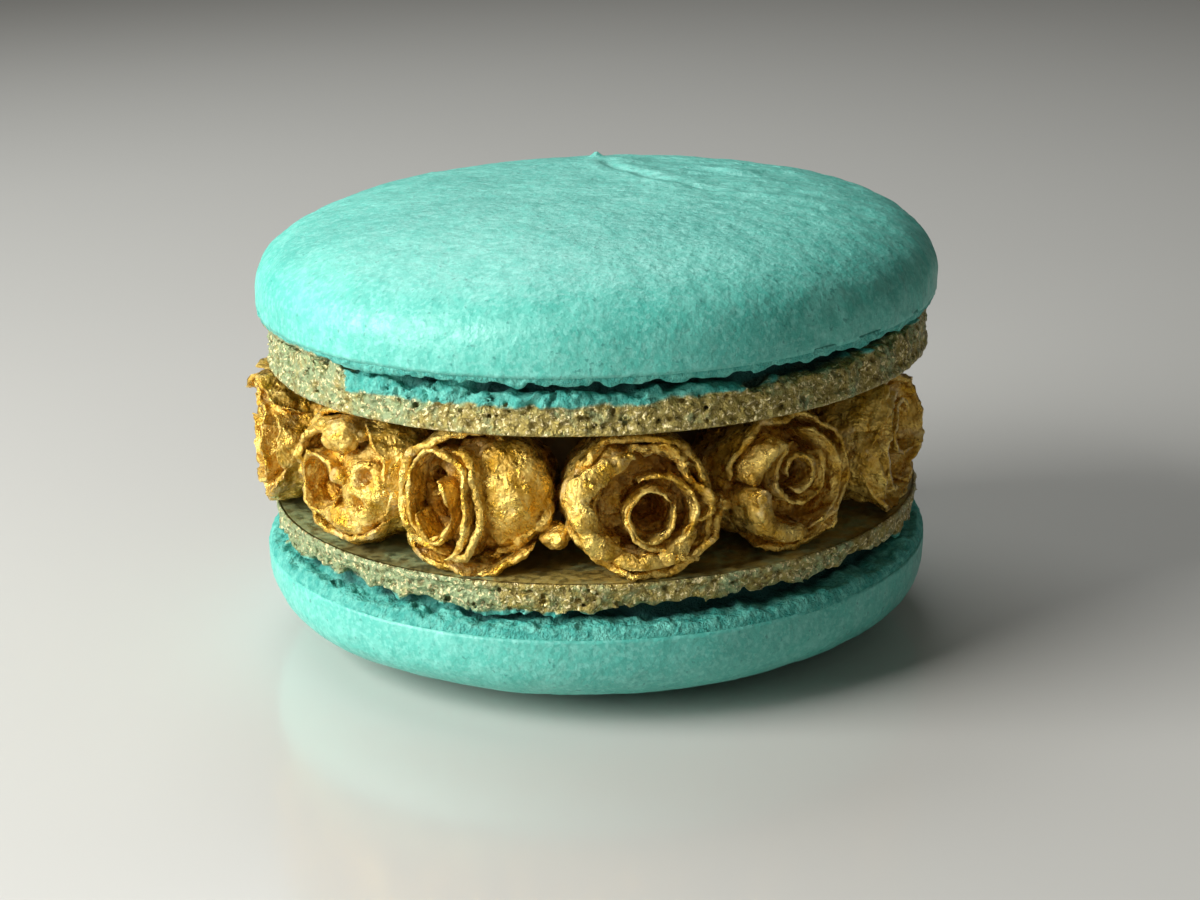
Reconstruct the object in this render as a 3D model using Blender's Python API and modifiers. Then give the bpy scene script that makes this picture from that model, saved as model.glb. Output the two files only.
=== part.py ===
"""A french macaron with roses: two meringue shells, a cream core and a ring of eleven roses.

Metres, +Z up. The origin is the middle of the small flat spot that the lower shell rests on.
The lower shell lies dome down and the upper one dome up, with their flat faces towards each
other. The roses stand in the gap between them, on a ring just inside the rim, and each one
opens outwards. The front of the macaron is -Y.
"""

import math

import bmesh
import bpy
from mathutils import Matrix, Vector

MM = 0.001
CLEARANCE = 0.3 * MM  # between pieces that lie on each other

# Heights above the surface that the macaron rests on.
LOWER_EQUATOR_Z = 6.2 * MM
LOWER_FLAT_Z = 9.7 * MM
UPPER_FLAT_Z = 19.1 * MM
UPPER_EQUATOR_Z = 23.0 * MM
UPPER_TOP_Z = 29.3 * MM

UPPER_RADIUS = 22.5 * MM
LOWER_RADIUS = 22.2 * MM
REST_SPOT_RADIUS = 5.0 * MM

# The upper shell sits a little to the right and leans, its right side higher.
UPPER_SHIFT_X = 0.35 * MM
UPPER_LEAN_DEG = 0.6

# A dome's section is a superellipse: (r / radius)^P + (z / height)^Q = 1.
UPPER_DOME_POWERS = (2.63, 3.33)
LOWER_DOME_POWERS = (3.1, 3.4)
DOME_STEPS = 8
CROWN_RADIUS = 3.0 * MM  # the dome's first ring of points

# The foot under the skin, measured from the equator (lip) or from the flat face (band).
LIP_DEPTH = 0.7 * MM
LIP_INSET = 0.25 * MM
CREVICE_DEPTH = 1.0 * MM
CREVICE_INSET = 1.7 * MM
BAND_HEIGHT = 2.0 * MM
BAND_INSET = 0.75 * MM
RIM_INSET = 0.55 * MM
RIM_ROUND = 0.2 * MM
FOOT_RUFFLE = 0.45 * MM
FOOT_RUFFLE_SIZE = 2.6 * MM
SHELL_STEPS = 60

CORE_RADIUS = 12.0 * MM
CORE_BULGE = 0.4 * MM
CORE_STEPS = 32

# Where each rose faces, in degrees from the front towards +X. They were set by hand, so unevenly.
ROSE_AZIMUTHS = (-85, -55, -23, 9, 38, 73, 107, 140, 174, 208, 241)
ROSE_DEPTH = 8.3 * MM
ROSE_RADIUS = 4.5 * MM
ROSE_BACK_R = 12.6 * MM
FIRST_ROSE_PROUD = 1.3 * MM  # the first rose stands out past the rim
PETAL_THICKNESS = 0.6 * MM
PETAL_STEPS_PER_TURN = 12
PETAL_END = 0.82  # from here on, the outer petal's edge slopes down and in
BUD_RADIUS = 1.1 * MM
HIP_RADIUS = 3.5 * MM
HIP_HALF_DEPTH = 0.36 * ROSE_DEPTH
HIP_SIDES = 12
HIP_RINGS = 6

TURQUOISE = (0.11, 0.50, 0.43, 1.0)
CREAM_TAN = (0.40, 0.27, 0.12, 1.0)
GOLD = (0.72, 0.45, 0.09, 1.0)


def clear_scene():
    for obj in list(bpy.data.objects):
        bpy.data.objects.remove(obj, do_unlink=True)


def new_collection(name):
    collection = bpy.data.collections.new(name)
    bpy.context.scene.collection.children.link(collection)
    return collection


def principled(name, color, roughness, metallic=0.0):
    material = bpy.data.materials.new(name)
    material.use_nodes = True
    shader = material.node_tree.nodes["Principled BSDF"]
    shader.inputs["Base Color"].default_value = color
    shader.inputs["Roughness"].default_value = roughness
    shader.inputs["Metallic"].default_value = metallic
    return material


def new_object(name, mesh, collection, material):
    obj = bpy.data.objects.new(name, mesh)
    collection.objects.link(obj)
    mesh.materials.append(material)
    return obj


def profile_object(name, points, collection, material):
    """A chain of edges in the XZ plane, ready for a Screw."""
    mesh = bpy.data.meshes.new(name)
    edges = [(i, i + 1) for i in range(len(points) - 1)]
    mesh.from_pydata([(r, 0.0, z) for r, z in points], edges, [])
    return new_object(name, mesh, collection, material)


def turn(obj, steps):
    """Turns the profile into a closed solid about Z."""
    screw = obj.modifiers.new("turned", "SCREW")
    screw.axis = "Z"
    screw.steps = steps
    screw.render_steps = steps
    screw.use_merge_vertices = True
    screw.merge_threshold = 0.00001
    screw.use_smooth_shade = True


def dome_points(radius, height, powers, first_r):
    """(r, height above the equator) from first_r out to the equator, dense near the edge."""
    p, q = powers
    first_angle = math.asin((first_r / radius) ** (p / 2))
    points = []
    for i in range(DOME_STEPS + 1):
        angle = first_angle + (math.pi / 2 - first_angle) * i / DOME_STEPS
        r = radius * math.sin(angle) ** (2 / p)
        points.append((r, height * max(0.0, 1 - (r / radius) ** p) ** (1 / q)))
    return points


def foot_points(radius, foot_height):
    """(r, depth below the equator) of the lip, the crevice, the foot's band and the rim."""
    band_top = foot_height - BAND_HEIGHT
    return [
        (radius - LIP_INSET, LIP_DEPTH),
        (radius - CREVICE_INSET, CREVICE_DEPTH),
        (radius - CREVICE_INSET, band_top - RIM_ROUND),
        (radius - BAND_INSET, band_top + RIM_ROUND),
        (radius - RIM_INSET - RIM_ROUND / 2, foot_height - BAND_HEIGHT / 2),
        (radius - RIM_INSET, foot_height - RIM_ROUND),
        (radius - RIM_INSET - RIM_ROUND, foot_height),
    ]


def upper_profile():
    height = UPPER_TOP_Z - UPPER_EQUATOR_Z
    dome = dome_points(UPPER_RADIUS, height, UPPER_DOME_POWERS, CROWN_RADIUS)
    foot = foot_points(UPPER_RADIUS, UPPER_EQUATOR_Z - UPPER_FLAT_Z)
    points = [(0.0, UPPER_TOP_Z)]
    points += [(r, UPPER_EQUATOR_Z + z) for r, z in dome]
    points += [(r, UPPER_EQUATOR_Z - depth) for r, depth in foot]
    points.append((0.0, UPPER_FLAT_Z))
    return points


def lower_profile():
    p, q = LOWER_DOME_POWERS
    shrink = (1 - (REST_SPOT_RADIUS / LOWER_RADIUS) ** p) ** (1 / q)
    height = LOWER_EQUATOR_Z / shrink
    dome = dome_points(LOWER_RADIUS, height, LOWER_DOME_POWERS, REST_SPOT_RADIUS)
    foot = foot_points(LOWER_RADIUS, LOWER_FLAT_Z - LOWER_EQUATOR_Z)
    points = [(0.0, LOWER_FLAT_Z)]
    points += [(r, LOWER_EQUATOR_Z + depth) for r, depth in reversed(foot)]
    points += [(r, max(0.0, LOWER_EQUATOR_Z - z)) for r, z in reversed(dome)]
    points.append((0.0, 0.0))
    return points


def ruffle_foot(obj, low, high):
    """Pushes the foot's points in and out, as the baked foam does. The flat face stays flat."""
    foot = obj.vertex_groups.new(name="foot")
    foot.add([v.index for v in obj.data.vertices if low < v.co.z < high], 1.0, "REPLACE")
    noise = bpy.data.textures.new(obj.name + "_foam", type="CLOUDS")
    noise.noise_scale = FOOT_RUFFLE_SIZE
    displace = obj.modifiers.new("ruffle", "DISPLACE")
    displace.texture = noise
    displace.vertex_group = foot.name
    displace.strength = FOOT_RUFFLE
    displace.mid_level = 0.5


def make_shells(collection, meringue):
    upper = profile_object("top_shell", upper_profile(), collection, meringue)
    turn(upper, SHELL_STEPS)
    ruffle_foot(upper, UPPER_FLAT_Z + RIM_ROUND, UPPER_EQUATOR_Z - LIP_DEPTH / 2)
    lean = math.radians(UPPER_LEAN_DEG)
    pivot = Vector((UPPER_SHIFT_X, 0.0, UPPER_FLAT_Z))
    upper.matrix_world = (
        Matrix.Translation(pivot)
        @ Matrix.Rotation(-lean, 4, "Y")
        @ Matrix.Translation(Vector((0.0, 0.0, -UPPER_FLAT_Z)))
    )
    lower = profile_object("bottom_shell", lower_profile(), collection, meringue)
    turn(lower, SHELL_STEPS)
    ruffle_foot(lower, LOWER_EQUATOR_Z + LIP_DEPTH / 2, LOWER_FLAT_Z - RIM_ROUND)


def upper_face_z(x):
    """Height of the upper shell's leaning flat face above a point."""
    return UPPER_FLAT_Z + (x - UPPER_SHIFT_X) * math.tan(math.radians(UPPER_LEAN_DEG))


def make_core(collection, cream):
    low = LOWER_FLAT_Z + CLEARANCE
    high = upper_face_z(-CORE_RADIUS) - CLEARANCE
    middle = (low + high) / 2
    points = [(0.0, high)]
    for i in range(7):
        angle = math.pi * i / 6
        bulge = CORE_BULGE * math.sin(angle)
        points.append((CORE_RADIUS - CORE_BULGE + bulge, middle + (high - middle) * math.cos(angle)))
    points.append((0.0, low))
    turn(profile_object("filling", points, collection, cream), CORE_STEPS)


class RoseShape:
    """What makes one rose differ from the next."""

    def __init__(self, index):
        self.turns = 1.8 + 0.2 * math.sin(2.1 * index)
        self.hand = 1 if index % 3 else -1
        self.start = 1.7 * index
        self.petals = 3 + index % 3
        self.radius = ROSE_RADIUS * (1 + 0.03 * math.sin(1.3 * index + 0.5))
        self.lift_deg = 7.0 + 4.0 * math.sin(2.7 * index)
        self.azimuth_deg = ROSE_AZIMUTHS[index]
        self.back_r = ROSE_BACK_R + 0.2 * MM * math.sin(1.9 * index)
        if index == 0:
            self.back_r += FIRST_ROSE_PROUD


def petal_sheet(shape):
    """One long petal rolled from the bud outwards, as an open sheet. The rose opens along +Z."""
    rows = 3
    count = round(shape.turns * PETAL_STEPS_PER_TURN)
    mesh = bpy.data.meshes.new("petal_sheet")
    points = []
    for i in range(count + 1):
        along = i / count
        angle = shape.start + shape.hand * 2 * math.pi * shape.turns * along
        rim = BUD_RADIUS + (shape.radius - PETAL_THICKNESS / 2 - BUD_RADIUS) * along**0.9
        frill = math.sin(shape.petals * angle)
        depth = ROSE_DEPTH * (1.0 - 0.22 * along**2) + 0.25 * MM * frill
        rim *= 1 + 0.05 * along * frill
        ending = max(0.0, along - PETAL_END) / (1 - PETAL_END)
        depth -= 0.35 * ROSE_DEPTH * ending
        rim -= 0.5 * MM * ending
        foot = 0.7 * rim + 0.1 * MM
        for row in range(rows):
            up = row / (rows - 1)
            r = foot + (rim - foot) * math.sin(math.pi / 2 * up)
            z = ROSE_DEPTH * 0.2 + (depth - ROSE_DEPTH * 0.2) * up
            points.append((r * math.cos(angle), r * math.sin(angle), z))
    faces = []
    for i in range(count):
        for row in range(rows - 1):
            a = i * rows + row
            b = a + rows
            faces.append((a, b, b + 1, a + 1))
    mesh.from_pydata(points, [], faces)
    return mesh


def hip_mesh():
    """The rounded base that the petals grow from."""
    bm = bmesh.new()
    bmesh.ops.create_uvsphere(bm, u_segments=HIP_SIDES, v_segments=HIP_RINGS, radius=1.0)
    bmesh.ops.scale(bm, vec=(HIP_RADIUS, HIP_RADIUS, HIP_HALF_DEPTH), verts=bm.verts)
    bmesh.ops.translate(bm, vec=(0.0, 0.0, HIP_HALF_DEPTH), verts=bm.verts)
    mesh = bpy.data.meshes.new("hip")
    bm.to_mesh(mesh)
    bm.free()
    return mesh


def rose_placement(shape):
    """Turns +Z outwards and a little up, and carries the rose to its place on the ring."""
    azimuth = math.radians(shape.azimuth_deg)
    outward = Vector((math.sin(azimuth), -math.cos(azimuth), 0.0))
    lift = math.radians(shape.lift_deg)
    axis = outward * math.cos(lift) + Vector((0.0, 0.0, math.sin(lift)))
    middle = (LOWER_FLAT_Z + UPPER_FLAT_Z) / 2
    base = outward * shape.back_r + Vector((0.0, 0.0, middle - 0.6 * MM))
    return Matrix.Translation(base) @ axis.to_track_quat("Z", "Y").to_matrix().to_4x4()


def press_between_shells(mesh):
    """Scales the rose's height so that it fills the gap between the two flat faces."""
    heights = [v.co.z for v in mesh.vertices]
    lowest = min(heights)
    highest = max(heights)
    low = LOWER_FLAT_Z + CLEARANCE
    inner_x = min(mesh.vertices, key=lambda v: v.co.x).co.x
    high = upper_face_z(inner_x) - CLEARANCE
    for vertex in mesh.vertices:
        vertex.co.z = low + (vertex.co.z - lowest) * (high - low) / (highest - lowest)


def make_rose(index, collection, helpers, gold):
    shape = RoseShape(index)
    name = f"rose_{index + 1:02d}"
    rolled = new_object(name + "_rolled", petal_sheet(shape), helpers, gold)
    hip = new_object(name + "_hip", hip_mesh(), helpers, gold)
    thicken = rolled.modifiers.new("thicken", "SOLIDIFY")
    thicken.thickness = PETAL_THICKNESS
    thicken.offset = 0.0
    join = rolled.modifiers.new("join", "BOOLEAN")
    join.operation = "UNION"
    join.solver = "EXACT"
    join.object = hip
    bpy.context.view_layer.update()
    graph = bpy.context.evaluated_depsgraph_get()
    mesh = bpy.data.meshes.new_from_object(rolled.evaluated_get(graph))
    mesh.name = name
    bpy.data.objects.remove(rolled)
    bpy.data.objects.remove(hip)
    mesh.transform(rose_placement(shape))
    press_between_shells(mesh)
    rose = bpy.data.objects.new(name, mesh)
    collection.objects.link(rose)
    mesh.set_sharp_from_angle(angle=math.radians(40))


def main():
    clear_scene()
    macaron = new_collection("french_macaron")
    helpers = new_collection("helpers")
    make_shells(macaron, principled("meringue", TURQUOISE, 0.55))
    make_core(macaron, principled("cream", CREAM_TAN, 0.6))
    gold = principled("gold", GOLD, 0.35, metallic=0.8)
    for index in range(len(ROSE_AZIMUTHS)):
        make_rose(index, macaron, helpers, gold)
    bpy.data.collections.remove(helpers)


main()
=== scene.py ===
"""Looks of the french macaron: two turquoise meringue shells, a cream core and a ring of gold roses.

Shapes are worked out in millimetres with numpy and written to meshes in metres. The frame's own
boxes say where each piece goes. The front of the macaron is -Y.
"""

import math

import bpy
import numpy as np
from mathutils import Matrix, Vector


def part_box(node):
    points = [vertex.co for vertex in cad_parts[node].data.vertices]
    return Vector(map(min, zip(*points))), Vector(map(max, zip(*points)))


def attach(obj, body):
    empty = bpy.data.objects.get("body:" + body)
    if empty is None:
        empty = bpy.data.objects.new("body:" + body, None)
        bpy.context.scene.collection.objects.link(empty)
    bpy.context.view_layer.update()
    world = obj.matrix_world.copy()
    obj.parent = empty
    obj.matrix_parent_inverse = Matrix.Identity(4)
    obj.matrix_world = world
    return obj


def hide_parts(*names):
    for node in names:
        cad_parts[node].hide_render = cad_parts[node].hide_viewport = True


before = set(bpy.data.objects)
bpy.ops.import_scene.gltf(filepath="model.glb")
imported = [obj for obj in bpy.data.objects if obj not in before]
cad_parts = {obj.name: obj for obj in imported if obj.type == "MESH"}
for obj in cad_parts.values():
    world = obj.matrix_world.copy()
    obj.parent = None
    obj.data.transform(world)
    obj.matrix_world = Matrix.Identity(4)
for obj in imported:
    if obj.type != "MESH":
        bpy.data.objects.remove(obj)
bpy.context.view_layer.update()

MM = 0.001
TAU = 2 * math.pi


def node_box(name):
    """A CAD node's corners in millimetres."""
    low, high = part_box(name)
    return np.array(low) / MM, np.array(high) / MM


# ---------------------------------------------------------------- sizes, in millimetres

UPPER_RADIUS = 22.5
LOWER_RADIUS = 22.2
UPPER_SHIFT_X = 0.35
UPPER_LEAN_DEG = 0.6
UPPER_DOME_POWERS = (2.63, 3.33)
LOWER_DOME_POWERS = (3.1, 3.4)
LOWER_FLAT_Z = node_box("bottom_shell")[1][2]
LOWER_EQUATOR_Z = LOWER_FLAT_Z - 3.5
UPPER_FLAT_Z = 19.1
UPPER_EQUATOR_Z = 23.0
UPPER_DOME_HEIGHT = 6.3
REST_SPOT_RADIUS = 5.0


# ---------------------------------------------------------------- noise

def lattice_hash(ix, iy, iz, seed):
    """A repeatable 32-bit number for each whole-number point."""
    h = ix * np.uint32(374761393) + iy * np.uint32(668265263) + iz * np.uint32(2246822519)
    h = h + np.uint32((seed * 3266489917) & 0xFFFFFFFF)
    h ^= h >> np.uint32(15)
    h *= np.uint32(2246822519)
    h ^= h >> np.uint32(13)
    h *= np.uint32(3266489917)
    h ^= h >> np.uint32(16)
    return h


def noise(points, size, seed):
    """Smooth noise of about -1 to 1, with features this size, at points of shape (..., 3)."""
    p = np.asarray(points, np.float32) / np.float32(size)
    cell = np.floor(p)
    t = p - cell
    fade = t * t * t * (t * (t * 6 - 15) + 10)
    c = cell.astype(np.int64).astype(np.uint32)
    total = np.zeros(p.shape[:-1], np.float32)
    for corner in range(8):
        ox, oy, oz = corner & 1, corner >> 1 & 1, corner >> 2 & 1
        h = lattice_hash(
            c[..., 0] + np.uint32(ox), c[..., 1] + np.uint32(oy), c[..., 2] + np.uint32(oz), seed
        )
        slope_x = (h & np.uint32(1023)).astype(np.float32) / 511.5 - 1
        slope_y = (h >> np.uint32(10) & np.uint32(1023)).astype(np.float32) / 511.5 - 1
        slope_z = (h >> np.uint32(20) & np.uint32(1023)).astype(np.float32) / 511.5 - 1
        value = slope_x * (t[..., 0] - ox) + slope_y * (t[..., 1] - oy) + slope_z * (t[..., 2] - oz)
        weight = fade[..., 0] if ox else 1 - fade[..., 0]
        weight = weight * (fade[..., 1] if oy else 1 - fade[..., 1])
        weight = weight * (fade[..., 2] if oz else 1 - fade[..., 2])
        total += weight * value
    return total * 1.6


def fractal(points, size, seed, octaves=3, roughness=0.5):
    total = 0.0
    weight = 1.0
    for octave in range(octaves):
        total = total + weight * noise(points, size / 2**octave, seed + 17 * octave)
        weight *= roughness
    return total


def ring_noise(angle, lobes, seed):
    """Smooth noise round a circle, about that many lobes to the turn."""
    radius = lobes / TAU
    points = np.stack([radius * np.cos(angle), radius * np.sin(angle), 0 * angle], -1)
    return noise(points, 1.0, seed)


def smooth(value, low, high):
    t = np.clip((value - low) / (high - low), 0.0, 1.0)
    return t * t * (3 - 2 * t)


# ---------------------------------------------------------------- meshes

def make_mesh(name, points_mm, quads, triangles=(), masks=None):
    """A smooth mesh object from arrays. masks is {attribute name: one value for each point}."""
    points = np.asarray(points_mm, np.float32) * MM
    quads = np.asarray(quads, np.int32).reshape(-1, 4)
    triangles = np.asarray(triangles, np.int32).reshape(-1, 3)
    mesh = bpy.data.meshes.new(name)
    mesh.vertices.add(len(points))
    mesh.vertices.foreach_set("co", points.ravel())
    mesh.loops.add(quads.size + triangles.size)
    mesh.loops.foreach_set("vertex_index", np.concatenate([quads.ravel(), triangles.ravel()]))
    mesh.polygons.add(len(quads) + len(triangles))
    starts = np.concatenate([
        np.arange(len(quads)) * 4,
        quads.size + np.arange(len(triangles)) * 3,
    ])
    mesh.polygons.foreach_set("loop_start", starts.astype(np.int32))
    mesh.update(calc_edges=True)
    mesh.validate()
    for key, values in (masks or {}).items():
        attribute = mesh.attributes.new(key, "FLOAT", "POINT")
        attribute.data.foreach_set("value", np.asarray(values, np.float32).ravel())
    mesh.shade_smooth()
    obj = bpy.data.objects.new(name, mesh)
    bpy.context.scene.collection.objects.link(obj)
    return obj


def grid_quads(rows, columns, closed_columns=True, offset=0):
    """Quads between the points of a grid whose rows run one after the other."""
    row = np.arange(rows - 1)[:, None]
    column = np.arange(columns if closed_columns else columns - 1)[None, :]
    following = (column + 1) % columns
    a = row * columns + column
    b = row * columns + following
    quads = np.stack([a, b, b + columns, a + columns], -1).reshape(-1, 4)
    return quads + offset


def fan(loop, centre, flip=False):
    """Triangles from a closed loop of point numbers to one centre point."""
    following = np.roll(loop, -1)
    triangles = np.stack([loop, following, np.full(len(loop), centre)], -1)
    return triangles[:, ::-1] if flip else triangles


def surface_nets(field, wrap_first=True):
    """The surface where a field of shape (A, B, C) is zero: points in grid units, and quads.

    The field is below zero inside. The first axis closes on itself. Quads face outwards when the
    three axes are right-handed.
    """
    if wrap_first:
        field = np.concatenate([field, field[:1]], 0)
    inside = field < 0
    shape = np.array(field.shape) - 1
    sums = np.zeros((3, shape.prod()))
    counts = np.zeros(shape.prod())
    crossings = []
    for axis in range(3):
        low = [slice(None)] * 3
        high = [slice(None)] * 3
        low[axis] = slice(0, -1)
        high[axis] = slice(1, None)
        f0 = field[tuple(low)]
        f1 = field[tuple(high)]
        crossed = inside[tuple(low)] != inside[tuple(high)]
        index = np.argwhere(crossed)
        start = f0[crossed]
        t = start / (start - f1[crossed])
        place = index.astype(np.float32)
        place[:, axis] += t
        rising = inside[tuple(low)][crossed]
        crossings.append((axis, index, rising))
        others = [k for k in range(3) if k != axis]
        for da in (0, 1):
            for db in (0, 1):
                cell = index.copy()
                cell[:, others[0]] -= da
                cell[:, others[1]] -= db
                valid = ((cell >= 0) & (cell < shape)).all(1)
                where = np.ravel_multi_index(cell[valid].T, shape)
                counts += np.bincount(where, minlength=counts.size)
                for k in range(3):
                    sums[k] += np.bincount(where, place[valid, k], counts.size)
    used = (counts > 0).reshape(shape)
    number = np.full(shape, -1, np.int64)
    number[used] = np.arange(used.sum())
    points = (sums[:, used.ravel()] / counts[used.ravel()]).T
    quads = []
    for axis, index, rising in crossings:
        u, v = [(axis + 1) % 3, (axis + 2) % 3]
        corners = []
        valid = np.ones(len(index), bool)
        if wrap_first and axis != 0:
            valid &= index[:, 0] < field.shape[0] - 1
        for du, dv in ((1, 1), (0, 1), (0, 0), (1, 0)):
            cell = index.copy()
            cell[:, u] -= du
            cell[:, v] -= dv
            if wrap_first:
                cell[:, 0] %= shape[0]
            corners.append(cell)
            valid &= ((cell >= 0) & (cell < shape)).all(1)
        if not valid.any():
            continue
        quad = np.stack([number[tuple(cell[valid].T)] for cell in corners], -1)
        quad[~rising[valid]] = quad[~rising[valid]][:, ::-1]
        quads.append(quad)
    return points, np.concatenate(quads)


def cap_open_edges(points, quads, group_of, centres):
    """Closes each open edge loop with triangles to that loop's centre point."""
    edges = np.concatenate([quads[:, [k, (k + 1) % 4]] for k in range(4)])
    keys = np.sort(edges, 1)
    _, index, count = np.unique(keys, axis=0, return_inverse=True, return_counts=True)
    single = edges[count[index.ravel()] == 1]
    group = group_of(points[single].mean(1))
    first = len(points)
    apex = first + group
    triangles = np.stack([single[:, 1], single[:, 0], apex], -1)
    return np.concatenate([points, centres]), triangles


# ---------------------------------------------------------------- shells

SKIN_EDGE_DEPTH = 0.10  # below the equator, where the smooth skin ends
FOOT_START = -0.14  # the foot starts inside the skin, this far above the equator
DOME_COLUMNS = 440
DOME_ROWS = 104
FOOT_COLUMNS = 760
FOOT_INNER_R = 19.2
FOOT_OUTER_R = 22.8
FOOT_STEP_R = 0.15
FOOT_STEP_Z = 0.13
NIPPLE = (0.3, 13.2)
NIPPLE_HEIGHT = 0.42
CREASE = ((0.3, 13.0), (1.6, 8.4), (3.4, 5.0), (6.6, 1.1), (11.0, -3.5))


def lean(points):
    """Carries the upper shell from upright to its place: its right side higher, shifted right."""
    a = math.radians(UPPER_LEAN_DEG)
    x, y, z = points[:, 0], points[:, 1], points[:, 2] - UPPER_FLAT_Z
    return np.stack([
        UPPER_SHIFT_X + x * math.cos(a) - z * math.sin(a),
        y,
        UPPER_FLAT_Z + x * math.sin(a) + z * math.cos(a),
    ], -1)


def dome_section(radius, height, powers, rows):
    """(r, height, outward r, outward z) along the dome from near the pole to the skin's edge."""
    p, q = powers
    angle = np.linspace(0.0, math.pi / 2, 4000) ** 1.0
    r = radius * np.sin(angle) ** (2 / p)
    z = height * np.clip(1 - (r / radius) ** p, 0, 1) ** (1 / q)
    below = np.linspace(0, SKIN_EDGE_DEPTH, 60)[1:]
    r = np.concatenate([r, radius - 0.35 * below**2])
    z = np.concatenate([z, -below])
    length = np.concatenate([[0], np.cumsum(np.hypot(np.diff(r), np.diff(z)))])
    even = np.linspace(0.012, 1.0, rows) * length[-1]
    r_even = np.interp(even, length, r)
    z_even = np.interp(even, length, z)
    dr, dz = np.gradient(r_even), np.gradient(z_even)
    size = np.hypot(dr, dz)
    return r_even, z_even, -dz / size, dr / size


def path_distance(x, y, path):
    """(distance to a path, how far along it from 0 to 1) for each point."""
    best = np.full(x.shape, 1e9)
    along = np.zeros(x.shape)
    for i in range(len(path) - 1):
        ax, ay = path[i]
        bx, by = path[i + 1]
        dx, dy = bx - ax, by - ay
        t = np.clip(((x - ax) * dx + (y - ay) * dy) / (dx * dx + dy * dy), 0, 1)
        d = np.hypot(x - ax - t * dx, y - ay - t * dy)
        nearer = d < best
        best = np.where(nearer, d, best)
        along = np.where(nearer, (i + t) / (len(path) - 1), along)
    return best, along


def skin_relief(points, seed):
    """Height of the baked skin's bumps, in millimetres."""
    relief = 0.12 * noise(points, 9.0, seed) + 0.060 * noise(points, 3.2, seed + 1)
    relief += 0.030 * noise(points, 1.2, seed + 2) + 0.014 * noise(points, 0.55, seed + 3)
    grains = smooth(noise(points, 1.1, seed + 4), 0.62, 0.95)
    pits = smooth(noise(points, 0.95, seed + 5), 0.66, 0.9)
    return relief + 0.05 * grains - 0.06 * pits


def piping_marks(points):
    """The peak that the piping nozzle left, and the soft crease that runs from it."""
    x, y = points[..., 0], points[..., 1]
    reach = np.hypot(x - NIPPLE[0], y - NIPPLE[1])
    peak = NIPPLE_HEIGHT * np.exp(-((reach / 0.36) ** 2)) + 0.12 * np.exp(-((reach / 1.7) ** 2))
    wobble = 0.5 * noise(points, 2.5, 71)
    distance, along = path_distance(x + wobble, y + wobble, CREASE)
    fade = (1 - smooth(along, 0.45, 1.0)) * smooth(along, 0.02, 0.15)
    crease = -0.13 * fade * np.exp(-((distance / 0.55) ** 2))
    lip = 0.12 * fade * np.exp(-(((distance - 1.2) / 0.9) ** 2))
    ridge_x = (x - 8.6) / 3.4
    ridge_y = (y - 7.0 - 0.9 * np.sin(x * 1.1)) / 0.8
    ridges = 0.20 * np.exp(-(ridge_x**2) - ridge_y**2)
    ridges = ridges + 0.10 * smooth(x + 0.4 * y, 3, 9) * noise(points * [0.6, 1.6, 1], 1.6, 72)
    return peak + crease + lip + ridges


def make_dome(name, radius, height, powers, equator_z, up, seed, marks=None):
    """One shell's smooth skin, closed underneath. up is 1 for dome up and -1 for dome down."""
    r, z, out_r, out_z = dome_section(radius, height, powers, DOME_ROWS)
    angle = np.arange(DOME_COLUMNS) * TAU / DOME_COLUMNS
    ca, sa = np.cos(angle), np.sin(angle)
    base = np.stack([
        r[:, None] * ca, r[:, None] * sa, np.repeat(z[:, None], DOME_COLUMNS, 1)
    ], -1)
    outward = np.stack([
        out_r[:, None] * ca, out_r[:, None] * sa, np.repeat(out_z[:, None], DOME_COLUMNS, 1)
    ], -1)
    relief = skin_relief(base, seed)
    if marks:
        relief = relief + marks(base)
    surface = base + outward * relief[..., None]
    inner = surface[-1] * [0.992, 0.992, 1.0]
    pole = np.array([[0, 0, height + relief[0].mean()], [0, 0, -SKIN_EDGE_DEPTH]])
    points = np.concatenate([surface.reshape(-1, 3), inner, pole])
    quads = grid_quads(DOME_ROWS + 1, DOME_COLUMNS)[:, ::-1]
    count = (DOME_ROWS + 1) * DOME_COLUMNS
    first = np.arange(DOME_COLUMNS)
    caps = [fan(first, count), fan(first + count - DOME_COLUMNS, count + 1, flip=True)]
    triangles = np.concatenate(caps)
    points[:, 2] = equator_z + up * points[:, 2]
    if up < 0:
        points[:, 2] = np.maximum(points[:, 2], 0.0)
        quads, triangles = quads[:, ::-1], triangles[:, ::-1]
    else:
        points = lean(points)
    return make_mesh(name, points, quads, triangles)


def carve_bubbles(field, phi, depth, r, spots):
    """Takes round bubbles out of a solid field. spots is (angle, depth, r, radius) for each."""
    step_angle = TAU / field.shape[0]
    step_depth = abs(depth[1] - depth[0])
    step_r = r[1] - r[0]
    for a0, d0, r0, size in spots:
        i = np.arange(int((a0 - phi[0] - size / r0) / step_angle),
                      int((a0 - phi[0] + size / r0) / step_angle) + 2) % field.shape[0]
        js = np.nonzero(np.abs(depth - d0) < size + step_depth)[0]
        ks = np.nonzero(np.abs(r - r0) < size + step_r)[0]
        if not len(js) or not len(ks):
            continue
        da = (phi[i] - a0 + math.pi) % TAU - math.pi
        gap = np.sqrt(
            (da[:, None, None] * r0) ** 2
            + (depth[js][None, :, None] - d0) ** 2
            + (r[ks][None, None, :] - r0) ** 2
        ) - size
        block = np.ix_(i, js, ks)
        field[block] = np.maximum(field[block], -gap)
    return field


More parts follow.
